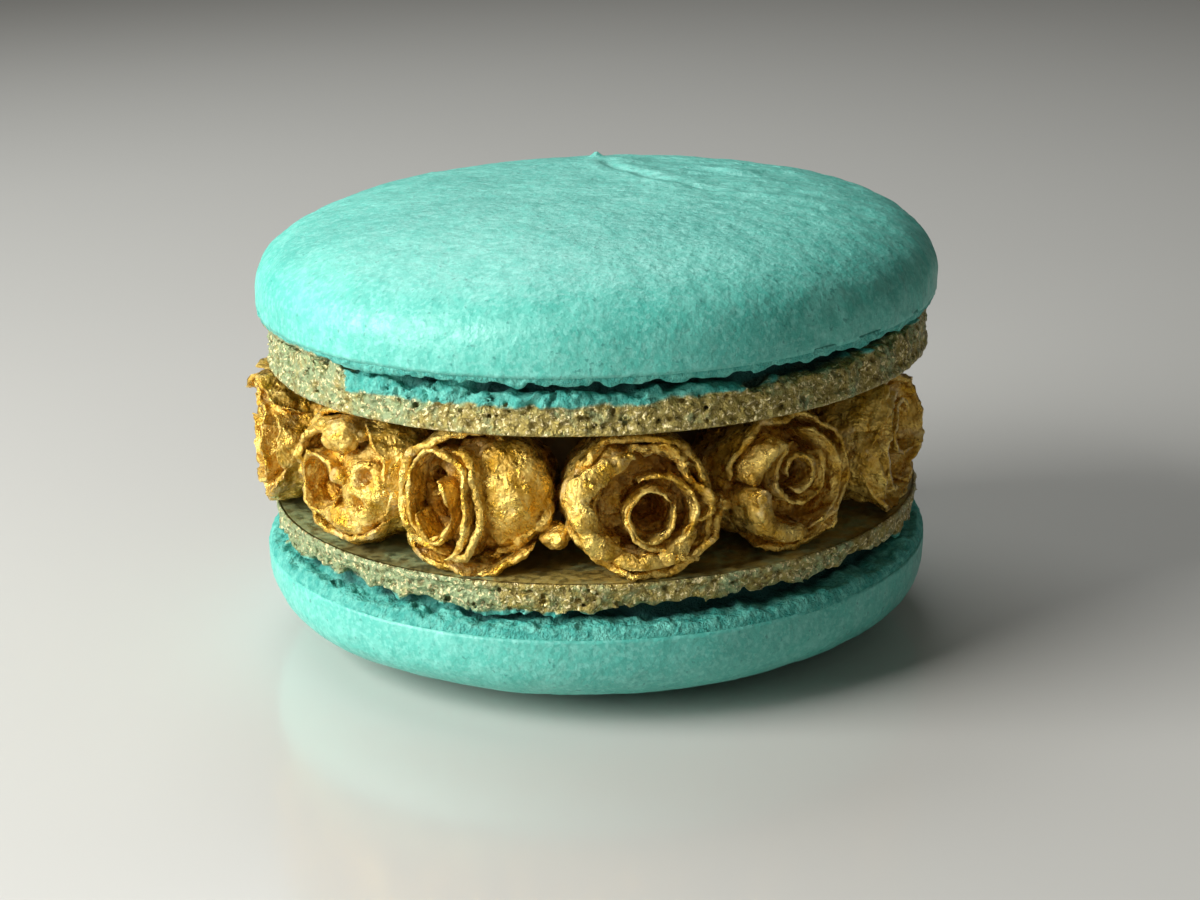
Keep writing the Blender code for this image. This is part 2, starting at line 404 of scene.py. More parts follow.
def make_foot(name, radius, equator_z, flat_z, up, seed, lip, gap, cave, band, gilt):
    """The shell's foamy foot, from under the skin's edge to the flat face.

    lip, gap, cave and band are functions of the angle from the front: the depth below the equator
    where the skin's ragged lip ends, how wide the crevice under it is, how deep it goes, and the
    height of the part of the foot that is painted. gilt says how much gold is in that paint.
    """
    height = abs(equator_z - flat_z)
    theta = np.arange(FOOT_COLUMNS) * TAU / FOOT_COLUMNS
    phi = theta + math.pi / 2
    phi = (phi + math.pi) % TAU - math.pi
    low_z = flat_z - 0.2 if up > 0 else equator_z + FOOT_START
    high_z = equator_z - FOOT_START if up > 0 else flat_z + 0.2
    z = np.arange(low_z, high_z + FOOT_STEP_Z, FOOT_STEP_Z)
    z = np.linspace(low_z, high_z, len(z))
    depth = (equator_z - z) * up
    r = np.arange(FOOT_INNER_R, FOOT_OUTER_R, FOOT_STEP_R)
    a, d, rr = phi[:, None, None], depth[None, :, None], r[None, None, :]
    points = np.stack(np.broadcast_arrays(
        rr * np.cos(theta)[:, None, None], rr * np.sin(theta)[:, None, None], z[None, :, None]
    ), -1).astype(np.float32)
    calm = 1 - 0.75 * smooth(d, height - 0.45, height - 0.1)
    shake = calm * smooth(d, 0.05, 0.3)
    coarse = noise(points, 1.5, seed)
    medium = noise(points, 0.75, seed + 1)
    fine = noise(points, 0.38, seed + 2)
    folds = np.abs(noise(points, 0.62, seed + 3))
    warp_d = d + shake * (0.30 * noise(points, 1.1, seed + 4) + 0.20 * medium)
    lip_edge = lip(phi)[:, None, None] + 0.24 * ring_noise(a, 70, seed + 5) \
        + 0.15 * ring_noise(a, 190, seed + 6)
    opening = gap(phi)[:, None, None]
    under = lip_edge + opening
    lip_r = radius - 0.04 - 0.45 * np.maximum(d, 0) ** 2
    lip_body = np.maximum(
        rr - lip_r - shake * (0.07 * medium + 0.08 * fine - 0.10 * folds), warp_d - lip_edge)
    swell = 0.20 * np.sin(np.clip((d - under) / (height - under), 0, 1) * math.pi)
    rim = 0.32 * smooth(d, height - 0.8, height - 0.16)
    foot_r = radius - 0.95 + swell + rim
    lumps = 0.42 * coarse + 0.30 * medium + 0.13 * fine - 0.34 * folds + 0.12
    in_band = smooth(d, height - band(phi)[:, None, None], height - band(phi)[:, None, None] + 0.3)
    grain = 0.20 * noise(points, 0.48, seed + 10) + 0.10 * coarse + 0.08 * medium - 0.20 * folds
    lumps = lumps * (1 - in_band) + (grain + 0.06) * in_band
    foot_body = np.maximum(rr - foot_r - shake * lumps, under - warp_d)
    wall = rr - (radius - cave(phi)[:, None, None]) - 0.35 * coarse - 0.12 * medium
    field = np.minimum(np.minimum(lip_body, foot_body), wall)
    field = np.maximum(field, d - height)
    rng = np.random.default_rng(seed)
    count = 2600
    sizes = 0.09 + 0.17 * rng.random(count) ** 3
    spots = np.stack([
        rng.uniform(-math.pi, math.pi, count),
        rng.uniform(0.75, height - 0.25, count),
        radius - rng.uniform(0.25, 1.5, count),
        sizes,
    ], -1)
    order = np.argsort(phi)
    rolled = field[order]
    field = np.empty_like(rolled)
    field[order] = carve_bubbles(rolled, phi[order], depth, r, spots)
    corner, quads = surface_nets(field)
    angle = theta[0] + corner[:, 0] * TAU / FOOT_COLUMNS
    pr = r[0] + corner[:, 2] * (r[1] - r[0])
    pz = z[0] + corner[:, 1] * (z[1] - z[0])
    surface = np.stack([pr * np.cos(angle), pr * np.sin(angle), pz], -1)
    inner_z = equator_z - up * FOOT_START
    centres = np.array([[0, 0, flat_z], [0, 0, inner_z]])
    middle_z = (flat_z + equator_z) / 2
    surface, triangles = cap_open_edges(
        surface, quads, lambda p: (np.abs(p[:, 2] - flat_z) > abs(middle_z - flat_z)).astype(int),
        centres,
    )
    at_phi = np.arctan2(surface[:, 0], -surface[:, 1])
    at_depth = (equator_z - surface[:, 2]) * up
    at_r = np.hypot(surface[:, 0], surface[:, 1])
    ragged = 0.22 * noise(surface, 1.0, seed + 8) + 0.12 * noise(surface, 0.4, seed + 9)
    gold = smooth(at_depth + ragged, height - band(at_phi) - 0.08, height - band(at_phi) + 0.12)
    # Painted shade: the deep inside of the crevice and cave is darkened almost to black, where shade
    # falls.
    hollow_shade = smooth(radius - 1.25 - at_r, 0.0, 0.9) * (at_depth < height - 0.15)
    face = smooth(at_depth, height - 0.14, height - 0.05) * (at_r < radius - 0.8)
    shown = lean(surface) if up > 0 else surface
    masks = {"gold": gold, "hollow_shade": hollow_shade, "face": face, "gilt": gilt(at_phi)}
    return make_mesh(name, shown, quads, triangles, masks)


def place_on_ring(phi, table):
    """Values given at some angles in degrees, read off at other angles in radians."""
    angles = np.radians([row[0] for row in table])
    values = [row[1] for row in table]
    return np.interp(phi, angles, values, period=TAU)


def upper_lip(phi):
    return 0.62 + 0 * phi


def upper_gap(phi):
    base = place_on_ring(phi, [(-180, 0.5), (-75, 0.1), (-50, 0.25), (-25, 0.45), (5, 0.6),
                               (30, 0.75), (60, 0.7), (90, 0.5), (130, 0.5)])
    uneven = 0.42 * ring_noise(phi, 34, 5) + 0.22 * ring_noise(phi, 90, 12)
    return np.maximum(base + 0.28 + uneven, 0.03)


def upper_cave(phi):
    base = place_on_ring(phi, [(-180, 1.3), (-80, 0.5), (-50, 0.8), (-20, 1.2), (10, 1.5),
                               (50, 1.6), (90, 1.2), (130, 1.3)])
    return np.clip(base + 0.9 + 0.8 * ring_noise(phi, 40, 6), 0.5, 2.7)


def upper_band(phi):
    base = place_on_ring(phi, [(-180, 2.0), (-120, 3.0), (-60, 3.6), (-47, 3.4), (-45, 1.7),
                               (-20, 1.8), (10, 2.0), (35, 2.3), (60, 2.6), (120, 2.4)])
    return base + 0.15 * ring_noise(phi, 40, 7)


def lower_lip(phi):
    return 0.85 + 0.12 * ring_noise(phi, 22, 8)


def lower_gap(phi):
    base = place_on_ring(phi, [(-180, 0.5), (-60, 0.4), (-48, 0.9), (-35, 0.4), (-10, 0.4),
                               (6, 0.6), (18, 1.15), (36, 0.8), (50, 1.2), (65, 0.7), (120, 0.5)])
    uneven = 0.40 * ring_noise(phi, 38, 9) + 0.2 * ring_noise(phi, 90, 13)
    return np.maximum(base + 0.25 + uneven, 0.05)


def lower_cave(phi):
    base = place_on_ring(phi, [(-180, 1.3), (-60, 1.0), (0, 1.4), (20, 2.0), (50, 2.0), (120, 1.3)])
    return np.clip(base + 0.7 + 0.6 * ring_noise(phi, 36, 10), 0.6, 2.5)


def lower_band(phi):
    return 1.95 + 0.2 * ring_noise(phi, 40, 11)


def upper_gilt(phi):
    return place_on_ring(phi, [(-180, 0.5), (-75, 0.25), (-40, 0.35), (-10, 0.7), (15, 0.85),
                               (40, 0.6), (90, 0.55)])


def lower_gilt(phi):
    return place_on_ring(phi, [(-180, 0.5), (-70, 0.15), (-22, 0.15), (-14, 0.8), (5, 0.6),
                               (25, 0.5), (90, 0.6)])


# ---------------------------------------------------------------- roses

ROSE_Z = 14.4
CORE_RADIUS = 12.0


def rose_axes(azimuth, lift):
    """(outward, rightward, upward) unit vectors of a rose that faces away from the middle."""
    a, e = math.radians(azimuth), math.radians(lift)
    outward = np.array([math.sin(a) * math.cos(e), -math.cos(a) * math.cos(e), math.sin(e)])
    right = np.array([math.cos(a), math.sin(a), 0.0])
    return outward, right, np.cross(outward, right)


def upper_face_z(x):
    return UPPER_FLAT_Z + (x - UPPER_SHIFT_X) * math.tan(math.radians(UPPER_LEAN_DEG))


def foil(points, seed):
    """How far crumpled foil stands out, with sharp creases between its facets."""
    wide = np.abs(noise(points, 1.3, seed)) - 0.3
    fine = np.abs(noise(points, 0.6, seed + 1)) - 0.3
    return 0.12 * wide - 0.16 * fine


def thick_sheet(centre, thickness, seed):
    """A closed skin round a grid of points of shape (rows, columns, 3): (points, quads, tris)."""
    along, across = np.gradient(centre, axis=(0, 1))
    normal = np.cross(along, across)
    normal /= np.linalg.norm(normal, axis=-1, keepdims=True) + 1e-9
    offset = normal * thickness[..., None] / 2
    front = centre + offset + normal * foil(centre + offset, seed)[..., None]
    back = centre - offset + normal * foil(centre - offset, seed)[..., None]
    loops = np.concatenate([front, back[:, ::-1]], 1)
    rows, columns = loops.shape[:2]
    ends = loops[[0, -1]].mean(1)
    points = np.concatenate([loops.reshape(-1, 3), ends])
    quads = grid_quads(rows, columns)
    loop = np.arange(columns)
    count = rows * columns
    caps = [fan(loop, count, flip=True), fan(loop + count - columns, count + 1)]
    triangles = np.concatenate(caps)
    corners = points[np.concatenate([quads[:, :3], quads[:, [0, 2, 3]], triangles])]
    if np.linalg.det(corners - points[:-2].mean(0)).sum() < 0:
        quads, triangles = quads[:, ::-1], triangles[:, ::-1]
    return points, quads, triangles


def petal(start, span, rim, tip, depth, taper, flare, wave, detail, seed, middle=(0.0, 0.0),
          shape=(1.0, 1.0), thickness=0.45, drop=0.0, roll_back=0.0, bulge=0.0):
    """One petal in the rose's own axes (right, up, outward), as a thick sheet.

    It runs from the angle start through span degrees. rim is the radius of its free edge at each
    end, and tip how far out that edge stands at each end. depth is how far in its root lies, and
    taper the root's radius against the edge's. flare opens the edge, bulge swells the side, drop
    lowers the two ends, roll_back turns the edge backwards, and wave is how crumpled it is.
    """
    arc = math.radians(abs(span)) * (rim[0] + rim[1]) / 2
    rows = max(int(arc * 7.5 * detail), 14)
    columns = max(int((10 + 2 * depth) * detail), 8)
    u = np.linspace(0, 1, rows)[:, None]
    v = 1 - (1 - np.linspace(0, 1, columns)[None, :]) ** 1.5
    line = np.concatenate([u * arc, 0 * u, 0 * u + seed * 0.37], -1)
    edge = rim[0] + (rim[1] - rim[0]) * u + 0.22 * wave * noise(line, 2.4, seed + 5)[:, None]
    angle = np.radians(start + span * u) + 0 * v
    radius = edge * (taper + (1 - taper) * np.sin(v * math.pi / 2)) + flare * v**4
    radius = radius + bulge * np.sin(v * math.pi)
    top = tip[0] + (tip[1] - tip[0]) * u - drop * np.abs(2 * u - 1) ** 3
    top = top + 0.30 * wave * noise(line, 1.7, seed + 6)[:, None]
    out = -depth + (top + depth) * v - roll_back * v**6
    x = middle[0] + shape[0] * radius * np.cos(angle)
    y = middle[1] + shape[1] * radius * np.sin(angle)
    centre = np.stack([x, y, out], -1)
    free = 0.45 + 0.55 * v
    for k, (size, amount) in enumerate(((2.4, 0.42), (1.1, 0.20), (0.55, 0.09), (0.3, 0.035))):
        push = [noise(centre, size, seed + 10 * k + axis) for axis in range(3)]
        centre = centre + np.stack(push, -1) * (amount * wave * free)[..., None]
    ends = np.minimum(smooth(u, 0.0, 0.08), 1 - smooth(u, 0.92, 1.0))
    thick = thickness * (1 - 0.45 * v**3) * (0.3 + 0.7 * ends)
    thick = thick * (1 + 0.35 * noise(centre, 0.9, seed + 7))
    return thick_sheet(centre, thick, seed + 8)


def lump(place, radii, seed, rows=24, crumple=0.2):
    """A crumpled ball at a place in the rose's own axes."""
    columns = rows * 2
    t = np.linspace(0, math.pi, rows + 2)[1:-1, None]
    angle = np.linspace(0, TAU, columns, endpoint=False)[None, :]
    unit = np.stack([
        np.sin(t) * np.cos(angle), np.sin(t) * np.sin(angle), np.cos(t) + 0 * angle], -1)
    poles = np.array([[0, 0, 1.0], [0, 0, -1.0]])
    unit = np.concatenate([unit.reshape(-1, 3), poles])
    surface = unit * radii + place
    push = noise(surface, 1.6, seed) + 0.6 * noise(surface, 0.7, seed + 1)
    push += 0.3 * noise(surface, 0.35, seed + 2)
    points = surface + unit * (crumple * push + foil(surface, seed + 3))[:, None]
    quads = grid_quads(rows, columns)[:, ::-1]
    count = rows * columns
    loop = np.arange(columns)
    caps = [fan(loop, count), fan(loop + count - columns, count + 1, flip=True)]
    return points, quads, np.concatenate(caps)


def rose_body(half_width, back, front, detail, seed):
    """The lump that the petals are wrapped round, in the rose's own axes."""
    rows, columns = int(42 * detail), int(64 * detail)
    t = np.linspace(0, math.pi, rows + 2)[1:-1, None]
    angle = np.linspace(0, TAU, columns, endpoint=False)[None, :]
    middle, half = (front + back) / 2, (front - back) / 2
    radius = half_width * np.sin(t) ** 0.6
    out = middle + half * np.cos(t) + 0 * angle
    x, y = radius * np.cos(angle), radius * np.sin(angle)
    surface = np.stack([x, y, out], -1)
    push = 0.34 * noise(surface, 2.2, seed) + 0.22 * noise(surface, 1.0, seed + 1)
    push += 0.10 * noise(surface, 0.5, seed + 2) + foil(surface, seed + 3)
    push -= 0.38 * smooth(noise(surface, 0.95, seed + 9), 0.40, 0.60)
    outward = surface - [0, 0, middle]
    outward /= np.linalg.norm(outward, axis=-1, keepdims=True)
    surface = surface + outward * push[..., None]
    ends = np.array([[0, 0, front], [0, 0, back]])
    points = np.concatenate([surface.reshape(-1, 3), ends])
    quads = grid_quads(rows, columns)[:, ::-1]
    count = rows * columns
    loop = np.arange(columns)
    caps = [fan(loop, count), fan(loop + count - columns, count + 1, flip=True)]
    return points, quads, np.concatenate(caps)


def make_rose(name, azimuth, face_r, lift, roll, petals, detail, seed, body=(4.0, -7.4, -1.5),
              middle_z=ROSE_Z, stretch=(1.0, 1.0), lumps=(), dents=()):
    """A gold rose facing outwards at that azimuth, pressed between the two shells."""
    outward, right, up = rose_axes(azimuth, lift)
    a = math.radians(azimuth)
    face = np.array([face_r * math.sin(a), -face_r * math.cos(a), middle_z])
    parts = [rose_body(*body, detail, seed)]
    for k, (place, radii) in enumerate(lumps):
        parts.append(lump(np.array(place), np.array(radii), seed + 300 + k))
    for k, facts in enumerate(petals):
        parts.append(petal(**{"detail": detail, "seed": seed + 31 * (k + 1), **facts}))
    points, quads, triangles, first = [], [], [], 0
    for part_points, part_quads, part_triangles in parts:
        points.append(part_points)
        quads.append(part_quads + first)
        triangles.append(part_triangles + first)
        first += len(part_points)
    local = np.concatenate(points) * [*stretch, 1.0]
    for dent_x, dent_y, dent_r, dent_depth in dents:
        reach = np.hypot(local[:, 0] - dent_x, local[:, 1] - dent_y) / dent_r
        local[:, 2] -= dent_depth * np.exp(-(reach**4)) * smooth(local[:, 2], -4.0, -2.5)
    c, s = math.cos(math.radians(roll)), math.sin(math.radians(roll))
    x, y, out = local[:, 0] * c - local[:, 1] * s, local[:, 0] * s + local[:, 1] * c, local[:, 2]
    placed = face + x[:, None] * right + y[:, None] * up + out[:, None] * outward
    low, high = LOWER_FLAT_Z + 0.03, upper_face_z(placed[:, 0]) - 0.03
    soft_low = np.maximum(placed[:, 2], low)
    placed[:, 2] = np.minimum(soft_low, high)
    # Painted shade: the rose's middle near its axis and its far back are darkened, where shade falls
    # between the petals.
    near_axis = 1 - smooth(np.hypot(x, y), 2.6, 4.0)
    hollow_shade = (1 - smooth(out, -2.6, -0.5)) * near_axis
    deep = 1 - smooth(out, -5.0, -2.0)
    masks = {"hollow_shade": np.maximum(hollow_shade, 0.8 * deep)}
    return make_mesh(name, placed, np.concatenate(quads), np.concatenate(triangles), masks)


def spiral_rose(seed):
    """Petals of a rolled rose whose exact folds can't be seen from the front."""
    rng = np.random.default_rng(seed)
    turn = rng.uniform(0, 360)
    petals = [
        dict(start=turn, span=430, rim=(0.8, 1.5), tip=(0.0, 0.2), depth=3.0, taper=0.8,
             flare=0.1, wave=0.6),
        dict(start=turn + 60, span=300, rim=(2.0, 2.7), tip=(0.1, 0.1), depth=3.6, taper=0.75,
             flare=0.3, wave=1.0, drop=0.5),
    ]
    for k in range(5):
        petals.append(dict(
            start=turn + 72 * k + rng.uniform(-12, 12), span=105, rim=(3.3, 3.5),
            tip=(-0.2, -0.5), depth=5.4, taper=0.86, flare=0.5, wave=1.2, drop=1.0,
            roll_back=0.5))
    return petals


FRONT_ROSES = {
    # Layered frills on top of a hollow that opens to the left.
    "rose_01": dict(azimuth=-80, face_r=22.2, lift=3, roll=0, stretch=(1.1, 1.0), petals=[
        dict(start=150, span=330, rim=(1.9, 2.5), tip=(0.5, 0.0), depth=3.2, taper=0.85,
             flare=0.3, wave=1.0, shape=(1.2, 0.9), middle=(-0.6, -0.9)),
        dict(start=20, span=130, rim=(3.2, 3.4), tip=(0.6, 0.7), depth=4.4, taper=0.7,
             flare=0.5, wave=1.6, drop=0.6, thickness=0.55),
        dict(start=35, span=120, rim=(4.1, 4.2), tip=(0.0, 0.3), depth=5.0, taper=0.8,
             flare=0.5, wave=1.6, drop=0.6),
        dict(start=150, span=120, rim=(3.9, 4.1), tip=(0.3, -0.2), depth=5.4, taper=0.85,
             flare=0.3, wave=1.3, drop=0.8, thickness=0.6),
        dict(start=230, span=120, rim=(4.1, 4.0), tip=(-0.1, -0.4), depth=5.4, taper=0.88,
             flare=0.3, wave=1.2, drop=0.8, thickness=0.6),
        dict(start=320, span=90, rim=(3.8, 4.0), tip=(-0.5, -0.5), depth=5.6, taper=0.9,
             flare=0.4, wave=1.2, drop=0.8),
    ]),
    # A rounded bud with a folded hollow at the lower left and small pits on the right.
    "rose_02": dict(azimuth=-49, face_r=21.5, lift=4, roll=0, stretch=(1.1, 1.0),
                    body=(4.0, -7.4, -0.7),
                    lumps=[((0.1, 2.7, -0.4), (1.3, 1.1, 1.1)), ((0.4, 0.2, -0.3), (0.7, 0.6, 0.7)),
                           ((1.6, -0.6, -1.4), (2.1, 2.3, 1.6)), ((0.2, -2.6, -1.2), (2.2, 1.1, 1.4))],
                    dents=[(2.4, 0.5, 0.5, 1.4), (2.1, -1.2, 0.5, 1.4), (-1.6, -0.7, 1.2, 2.2)],
                    petals=[
        dict(start=20, span=320, rim=(1.5, 1.75), tip=(0.2, 0.0), depth=3.0, taper=0.92,
             flare=0.1, wave=0.8, shape=(1.0, 1.15), middle=(-1.6, -0.6)),
        dict(start=60, span=130, rim=(3.2, 3.4), tip=(0.3, 0.1), depth=4.4, taper=0.9,
             flare=-0.5, wave=1.3, drop=0.6, thickness=0.7, middle=(-0.3, 0.2)),
        dict(start=80, span=140, rim=(4.0, 4.1), tip=(-0.5, -0.3), depth=5.0, taper=0.92,
             flare=0.0, wave=1.1, drop=0.9, thickness=0.6, bulge=0.2),
        dict(start=190, span=140, rim=(3.9, 3.9), tip=(-0.1, -0.6), depth=5.4, taper=0.92,
             flare=0.0, wave=1.1, drop=0.7, thickness=0.6, bulge=0.2),
        dict(start=-50, span=130, rim=(3.8, 3.9), tip=(-1.0, -0.9), depth=5.4, taper=0.95,
             flare=-0.2, wave=1.0, drop=0.6, thickness=0.6, bulge=0.3),
    ]),
    # Two drop-shaped hollows split by a bent sheet; a broad crumpled petal on the right.
    "rose_03": dict(azimuth=-22.5, face_r=21.0, lift=4, roll=0, stretch=(1.08, 1.0),
                    body=(4.0, -7.4, -1.2),
                    dents=[(-2.4, 0.9, 0.6, 2.0), (-1.6, -1.0, 0.75, 2.4)],
                    lumps=[((1.9, 0.3, -2.4), (2.4, 3.4, 2.0))], petals=[
        dict(start=70, span=230, rim=(1.9, 1.8), tip=(0.1, 0.3), depth=3.4, taper=0.95,
             flare=0.0, wave=0.5, shape=(0.72, 1.5), middle=(-2.0, 0.1), thickness=0.42),
        dict(start=75, span=-250, rim=(1.3, 1.1), tip=(0.5, 0.4), depth=3.4, taper=0.95,
             flare=0.05, wave=0.45, shape=(0.8, 1.55), middle=(-1.75, -0.75), thickness=0.42),
        dict(start=100, span=-175, rim=(2.2, 2.3), tip=(0.5, 0.4), depth=4.0, taper=0.95,
             flare=0.1, wave=0.6, shape=(0.7, 1.45), middle=(-1.25, -0.3), thickness=0.6),
        dict(start=85, span=-175, rim=(2.9, 2.9), tip=(0.2, 0.2), depth=4.0, taper=0.95,
             flare=0.1, wave=0.9, shape=(0.6, 1.2), middle=(-0.8, -0.2), thickness=0.8),
        dict(start=92, span=-175, rim=(3.8, 3.9), tip=(-1.5, -1.1), depth=5.0, taper=0.9,
             flare=0.2, wave=1.4, drop=0.5, roll_back=0.5, thickness=0.7),
        dict(start=80, span=170, rim=(3.9, 3.9), tip=(0.0, 0.0), depth=5.0, taper=0.92,
             flare=0.1, wave=0.8, drop=0.4, thickness=0.75, bulge=0.2),
        dict(start=205, span=120, rim=(3.9, 4.2), tip=(-0.2, -0.3), depth=5.4, taper=0.85,
             flare=0.4, wave=0.8, drop=0.9, thickness=0.6, shape=(1.0, 1.08)),
    ]),
    # A round tube in the middle, a broad bright petal on the left that sweeps underneath.
    "rose_04": dict(azimuth=8.0, face_r=21.1, lift=4, roll=0, stretch=(1.08, 1.0),
                    body=(4.0, -7.4, -1.6), dents=[(0.4, -0.6, 0.95, 2.6)],
                    lumps=[((-4.6, -2.2, -3.0), (0.9, 0.8, 1.2)), ((4.6, -0.8, -2.8), (0.7, 0.6, 0.9))],
                    petals=[
        dict(start=30, span=350, rim=(1.2, 1.32), tip=(0.3, 0.35), depth=3.6, taper=0.97,
             flare=0.05, wave=0.25, middle=(0.4, -0.6), thickness=0.32, shape=(1.0, 1.25)),
        dict(start=120, span=-330, rim=(2.2, 1.7), tip=(0.1, 0.3), depth=3.6, taper=0.92,
             flare=0.15, wave=0.55, middle=(0.75, -0.55), thickness=0.42, shape=(1.0, 1.05)),
        dict(start=98, span=150, rim=(3.3, 3.3), tip=(0.5, 0.3), depth=4.8, taper=0.95,
             flare=0.0, wave=0.7, middle=(-0.1, -0.1), drop=0.2, roll_back=0.0, thickness=2.0),
        dict(start=180, span=150, rim=(3.5, 3.4), tip=(0.1, 0.1), depth=4.8, taper=0.92,
             flare=0.0, wave=0.7, drop=0.3, thickness=1.5, shape=(1.0, 1.05)),
        dict(start=-50, span=130, rim=(3.0, 3.2), tip=(0.1, 0.1), depth=4.4, taper=0.85,
             flare=0.3, wave=1.8, drop=0.5, middle=(0.3, 0.0), thickness=0.5),
        dict(start=-80, span=160, rim=(3.7, 3.8), tip=(-0.4, -0.3), depth=5.0, taper=0.88,
             flare=0.3, wave=1.8, drop=0.6, thickness=0.55),
        dict(start=35, span=110, rim=(3.1, 3.2), tip=(0.2, 0.1), depth=4.4, taper=0.92,
             flare=0.3, wave=1.2, drop=0.6, thickness=0.55, roll_back=0.6),
        dict(start=40, span=110, rim=(4.0, 4.1), tip=(-0.3, -0.1), depth=5.0, taper=0.92,
             flare=0.1, wave=1.2, drop=0.8, thickness=0.6),
        dict(start=215, span=140, rim=(4.0, 4.2), tip=(-0.1, -0.5), depth=5.4, taper=0.88,
             flare=0.3, wave=0.9, drop=0.8, thickness=0.7),
    ]),
    # A three-sided whirl round a small dark hole.
    "rose_05": dict(azimuth=35.5, face_r=20.9, lift=4, roll=0, stretch=(1.05, 1.0),
                    body=(3.9, -7.4, -1.5), dents=[(0.4, 0.7, 0.6, 2.4)], petals=[
        dict(start=200, span=-320, rim=(0.75, 1.0), tip=(0.2, 0.4), depth=3.0, taper=0.95,
             flare=0.15, wave=0.5, middle=(0.4, 0.7), thickness=0.5),
        dict(start=100, span=300, rim=(1.9, 1.5), tip=(0.1, 0.2), depth=3.6, taper=0.88,
             flare=0.2, wave=0.7, middle=(0.5, 0.5), thickness=0.5),
        dict(start=108, span=62, rim=(3.0, 2.9), tip=(0.9, 0.2), depth=4.8, taper=0.92,
             flare=0.0, wave=0.5, drop=0.0, thickness=1.3),
        dict(start=176, span=112, rim=(2.6, 3.4), tip=(0.9, -0.1), depth=5.0, taper=0.86,
             flare=0.0, wave=0.15, drop=0.0, thickness=1.7),
        dict(start=-75, span=150, rim=(3.0, 2.8), tip=(0.1, 0.3), depth=4.6, taper=0.85,
             flare=0.4, wave=0.7, drop=0.4, middle=(0.3, 0.1)),
        dict(start=-80, span=160, rim=(4.0, 3.9), tip=(-0.3, -0.1), depth=5.0, taper=0.85,
             flare=0.4, wave=0.6, drop=0.6),
        dict(start=60, span=110, rim=(4.0, 4.1), tip=(-0.3, -0.5), depth=5.2, taper=0.92,
             flare=0.2, wave=1.0, drop=0.6, thickness=0.6),
        dict(start=245, span=100, rim=(4.0, 4.1), tip=(-0.6, -0.3), depth=5.4, taper=0.88,
             flare=0.3, wave=0.9, drop=0.8, thickness=0.6),
    ]),
    # The rose in shadow at the right: a pock-marked wall with a flared lip below.
    "rose_06": dict(azimuth=68, face_r=21.2, lift=4, roll=0, stretch=(1.1, 1.0),
                    body=(4.1, -7.4, -1.2), petals=[
        dict(start=-20, span=330, rim=(1.3, 1.9), tip=(0.1, 0.2), depth=3.0, taper=0.9,
             flare=0.2, wave=0.7, middle=(0.8, 0.6)),
        dict(start=100, span=160, rim=(3.1, 3.4), tip=(0.5, 0.2), depth=4.6, taper=0.97,
             flare=0.0, wave=0.9, drop=0.4, thickness=0.8),
        dict(start=110, span=130, rim=(4.1, 4.1), tip=(0.0, 0.0), depth=5.2, taper=0.97,
             flare=0.0, wave=0.9, drop=0.3, thickness=0.8),
        dict(start=190, span=160, rim=(3.7, 3.9), tip=(-0.4, -0.3), depth=5.2, taper=0.85,
             flare=0.9, wave=0.8, drop=0.6),
        dict(start=-60, span=140, rim=(3.7, 3.9), tip=(0.1, 0.3), depth=5.0, taper=0.9,
             flare=0.3, wave=1.2, drop=0.4, thickness=0.6),
        dict(start=60, span=110, rim=(3.9, 4.0), tip=(0.3, 0.2), depth=5.2, taper=0.92,
             flare=0.2, wave=1.2, drop=0.6, thickness=0.6),
    ]),
}
BACK_ROSES = {"rose_07": 107, "rose_08": 140, "rose_09": 174, "rose_10": 208, "rose_11": 241}


def make_core():
    """The short cream column in the middle, with an uneven side."""
    rows, columns = 40, 240
    low, high = node_box("filling")
    angle = np.arange(columns) * TAU / columns
    height = np.linspace(low[2] - 0.25, high[2] + 0.25, rows)[:, None]
    side = np.stack(np.broadcast_arrays(
        CORE_RADIUS * np.cos(angle), CORE_RADIUS * np.sin(angle), height), -1)
    push = 0.18 * noise(side, 4.0, 900) + 0.10 * noise(side, 1.3, 901) - 0.15
    reach = (1 + push / CORE_RADIUS)[..., None]
    side = side * np.concatenate([reach, reach, np.ones_like(reach)], -1)
    ends = np.array([[0, 0, side[0, 0, 2]], [0, 0, side[-1, 0, 2]]])
    points = np.concatenate([side.reshape(-1, 3), ends])
    count = rows * columns
    loop = np.arange(columns)
    caps = [fan(loop, count, flip=True), fan(loop + count - columns, count + 1)]
    return make_mesh("cream_core", points, grid_quads(rows, columns), np.concatenate(caps))


# ---------------------------------------------------------------- materials

